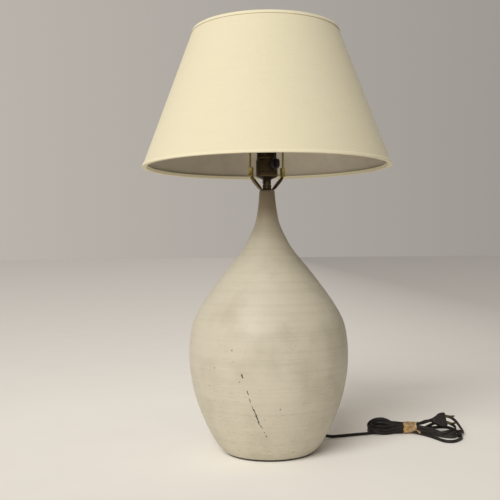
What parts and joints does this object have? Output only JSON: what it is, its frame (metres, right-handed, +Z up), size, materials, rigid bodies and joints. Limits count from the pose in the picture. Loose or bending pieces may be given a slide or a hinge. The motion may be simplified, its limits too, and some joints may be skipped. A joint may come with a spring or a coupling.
{
  "type": "table lamp",
  "caption": "Bottle-shaped matte cream pottery table lamp with a slim neck, cream empire shade on a harp, turn-knob socket and a brown cord tied in a hank.",
  "frame": {"origin": "centre of the felt pad's underside, on the surface the lamp stands on", "axes": "+Z up along the lamp's axis, -Y towards the viewer, +X to the right, where the cord lies"},
  "size_m": [0.5503, 0.4086, 0.7049],
  "materials": {
    "matte_glaze": "matte cream stoneware glaze with throwing lines",
    "black_felt": "dark wool felt",
    "zinc_steel": "zinc plated, satin",
    "brass": "aged brass, satin",
    "aged_bronze": "dark antique bronze finish, satin",
    "cardboard": "rolled fibre board",
    "black_phenolic": "moulded black phenolic",
    "nickel": "nickel plated",
    "clear_glass": "clear drawn glass",
    "frosted_glass": "inside-frosted bulb glass",
    "tungsten": "drawn wire",
    "cream_linen": "plain-woven cream shade cloth",
    "white_styrene": "off-white styrene sheet",
    "brown_vinyl": "dark brown flexible PVC",
    "black_rubber": "matte rubber",
    "gold_paper": "crinkled tan and gold paper band"
  },
  "bodies": {
    "base": {"ceramic_body": "matte_glaze", "felt_pad": "black_felt", "lamp_pipe": "zinc_steel", "bottom_washer": "zinc_steel", "bottom_nut": "zinc_steel", "saddle_locknut": "aged_bronze", "harp_saddle": "aged_bronze", "socket_cap": "aged_bronze", "cap_set_screw": "zinc_steel", "socket_shell": "aged_bronze", "socket_insulator": "cardboard", "socket_block": "black_phenolic", "screw_shell": "brass", "centre_contact": "brass", "terminal_screw_brass": "brass", "terminal_screw_silver": "nickel", "cord_relief": "black_rubber", "cord_inner": "brown_vinyl", "cord_lead": "brown_vinyl", "cord_hank": "brown_vinyl", "cord_tail": "brown_vinyl", "hank_tie": "gold_paper", "plug_body": "brown_vinyl", "plug_blade_1": "brass", "plug_blade_2": "brass"},
    "switch": {"switch_shaft": "brass", "switch_knob": "black_phenolic"},
    "bulb_tip": {"bulb_contact": "nickel"},
    "bulb": {"bulb_insulator": "black_phenolic", "bulb_cap": "nickel", "bulb_glass": "frosted_glass", "bulb_stem": "clear_glass", "bulb_filament": "tungsten"},
    "harp": {"harp_wire": "brass"},
    "sleeve_left": {"sleeve_left": "brass"},
    "sleeve_right": {"sleeve_right": "brass"},
    "stud": {"harp_stud": "brass"},
    "shade": {"shade_fabric": "cream_linen", "shade_liner": "white_styrene", "shade_bottom_trim": "cream_linen", "shade_top_trim": "cream_linen", "shade_bottom_ring": "zinc_steel", "shade_spider": "brass"},
    "finial_collar": {"finial_collar": "brass"},
    "finial_knob": {"finial_knob": "brass"}
  },
  "joints": [
    {"name": "knob_turn", "type": "hinge", "parent": "base", "child": "switch", "pos_m": [0, 0, 0.4695], "axis": [0.6157, -0.788, 0], "continuous": true},
    {"name": "bulb_rise", "type": "slide", "parent": "base", "child": "bulb_tip", "axis": [0, 0, 1], "range_m": [0, 0.02178]},
    {"name": "bulb_turn", "type": "hinge", "parent": "bulb_tip", "child": "bulb", "pos_m": [0, 0, 0.482], "axis": [0, 0, 1], "range_deg": [0, 2160]},
    {"name": "harp_lift", "type": "slide", "parent": "base", "child": "harp", "axis": [0, 0, 1], "range_m": [0, 0.045]},
    {"name": "sleeve_left_lift", "type": "slide", "parent": "harp", "child": "sleeve_left", "axis": [0, 0, 1], "range_m": [0, 0.016]},
    {"name": "sleeve_right_lift", "type": "slide", "parent": "harp", "child": "sleeve_right", "axis": [0, 0, 1], "range_m": [0, 0.016]},
    {"name": "shade_spin", "type": "hinge", "parent": "harp", "child": "stud", "pos_m": [0, 0, 0.675], "axis": [0, 0, 1], "continuous": true},
    {"name": "shade_lift", "type": "slide", "parent": "stud", "child": "shade", "axis": [0, 0, 1], "range_m": [0, 0.25]},
    {"name": "finial_rise", "type": "slide", "parent": "shade", "child": "finial_collar", "axis": [0, 0, 1], "range_m": [0, 0.00941]},
    {"name": "finial_turn", "type": "hinge", "parent": "finial_collar", "child": "finial_knob", "pos_m": [0, 0, 0.69], "axis": [0, 0, 1], "range_deg": [0, 3600]}
  ],
  "couplings": [
    {"joint": "bulb_rise", "follows": "bulb_turn", "m_per_rad": 0.0005775},
    {"joint": "finial_rise", "follows": "finial_turn", "m_per_rad": 0.00014972}
  ]
}
